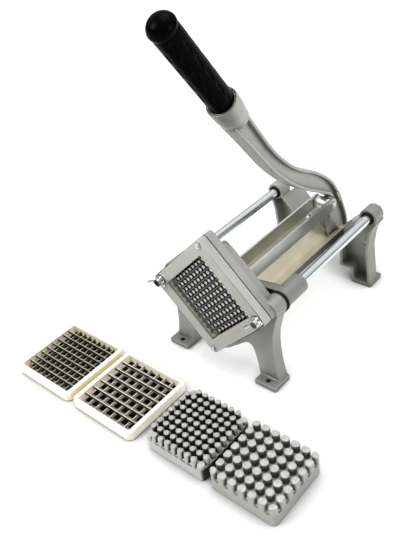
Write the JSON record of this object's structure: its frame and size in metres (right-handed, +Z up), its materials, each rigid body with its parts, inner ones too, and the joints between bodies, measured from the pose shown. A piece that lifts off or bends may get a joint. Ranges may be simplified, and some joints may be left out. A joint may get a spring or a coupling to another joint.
{
  "type": "french fry cutter",
  "caption": "bench lever press that pushes a potato through a square blade grid, with spare blade frames and push blocks beside it",
  "frame": {"origin": "on the floor, midway between the two front foot holes", "axes": "+X right seen from the front, +Y to the rear along the guide rods, +Z up"},
  "size_m": [0.405, 0.4468, 0.4364],
  "materials": {
    "casting_grey": "satin hammered silver-grey enamel",
    "plate_grey": "satin silver-grey enamel",
    "chrome": "polished plating",
    "steel": "bright zinc-plated steel",
    "stainless": "brushed stainless sheet",
    "blade_steel": "ground blade steel",
    "bronze": "sintered bronze",
    "grip_black": "glossy black moulding",
    "ivory": "ivory moulding",
    "block_grey": "grey moulding"
  },
  "bodies": {
    "machine": {"front_casting": "casting_grey", "front_plate": "plate_grey", "plate_screws": "steel", "fine_frame": "ivory", "fine_blades_front": "blade_steel", "fine_blades_rear": "blade_steel", "guide_rod_left": "chrome", "guide_rod_right": "chrome", "rod_rear_nuts": "steel", "rear_leg_left": "casting_grey", "rear_leg_right": "casting_grey", "lever_axle": "steel", "axle_nuts": "steel", "trough": "stainless", "trough_screws": "steel", "trough_nuts": "steel"},
    "carriage": {"carriage": "casting_grey", "sleeve_bushes": "bronze", "fine_push_block": "block_grey", "block_screws": "steel", "ear_bolts": "steel"},
    "lever": {"lever": "casting_grey", "grip": "grip_black", "spacer_tube": "steel"},
    "link": {"link_bar_left": "steel", "link_bar_right": "steel", "cross_pin": "steel", "link_bolt": "steel", "link_nut": "steel"},
    "wing_nut_left": {"wing_nut_left": "steel"},
    "wing_nut_right": {"wing_nut_right": "steel"},
    "medium_frame": {"medium_frame": "ivory", "medium_blades_top": "blade_steel", "medium_blades_bottom": "blade_steel"},
    "large_frame": {"large_frame": "ivory", "large_blades_top": "blade_steel", "large_blades_bottom": "blade_steel"},
    "medium_push_block": {"medium_push_block": "block_grey"},
    "large_push_block": {"large_push_block": "block_grey"}
  },
  "joints": [
    {"name": "lever_pivot", "type": "hinge", "parent": "machine", "child": "lever", "pos_m": [0, 0.265, 0.033], "axis": [-1, 0, 0], "range_deg": [0, 75]},
    {"name": "carriage_slide", "type": "slide", "parent": "machine", "child": "carriage", "axis": [0, 1, 0], "range_m": [0, 0.1]},
    {"name": "link_pivot", "type": "hinge", "parent": "lever", "child": "link", "pos_m": [0, 0.237, 0.1085], "axis": [1, 0, 0], "range_deg": [0, 75]},
    {"name": "wing_nut_left_turn", "type": "hinge", "parent": "machine", "child": "wing_nut_left", "pos_m": [-0.073, -0.015, 0.111], "axis": [0, 1, 0], "continuous": true},
    {"name": "wing_nut_right_turn", "type": "hinge", "parent": "machine", "child": "wing_nut_right", "pos_m": [0.073, -0.015, 0.111], "axis": [0, 1, 0], "continuous": true},
    {"name": "medium_frame_lift", "type": "slide", "parent": "machine", "child": "medium_frame", "axis": [0, 0, 1], "range_m": [0, 0.06]},
    {"name": "large_frame_lift", "type": "slide", "parent": "machine", "child": "large_frame", "axis": [0, 0, 1], "range_m": [0, 0.06]},
    {"name": "medium_push_block_lift", "type": "slide", "parent": "machine", "child": "medium_push_block", "axis": [0, 0, 1], "range_m": [0, 0.06]},
    {"name": "large_push_block_lift", "type": "slide", "parent": "machine", "child": "large_push_block", "axis": [0, 0, 1], "range_m": [0, 0.06]}
  ],
  "couplings": [
    {"joint": "carriage_slide", "follows": "lever_pivot", "m_per_rad": 0.0733},
    {"joint": "link_pivot", "follows": "lever_pivot", "ratio": 0.8813}
  ]
}
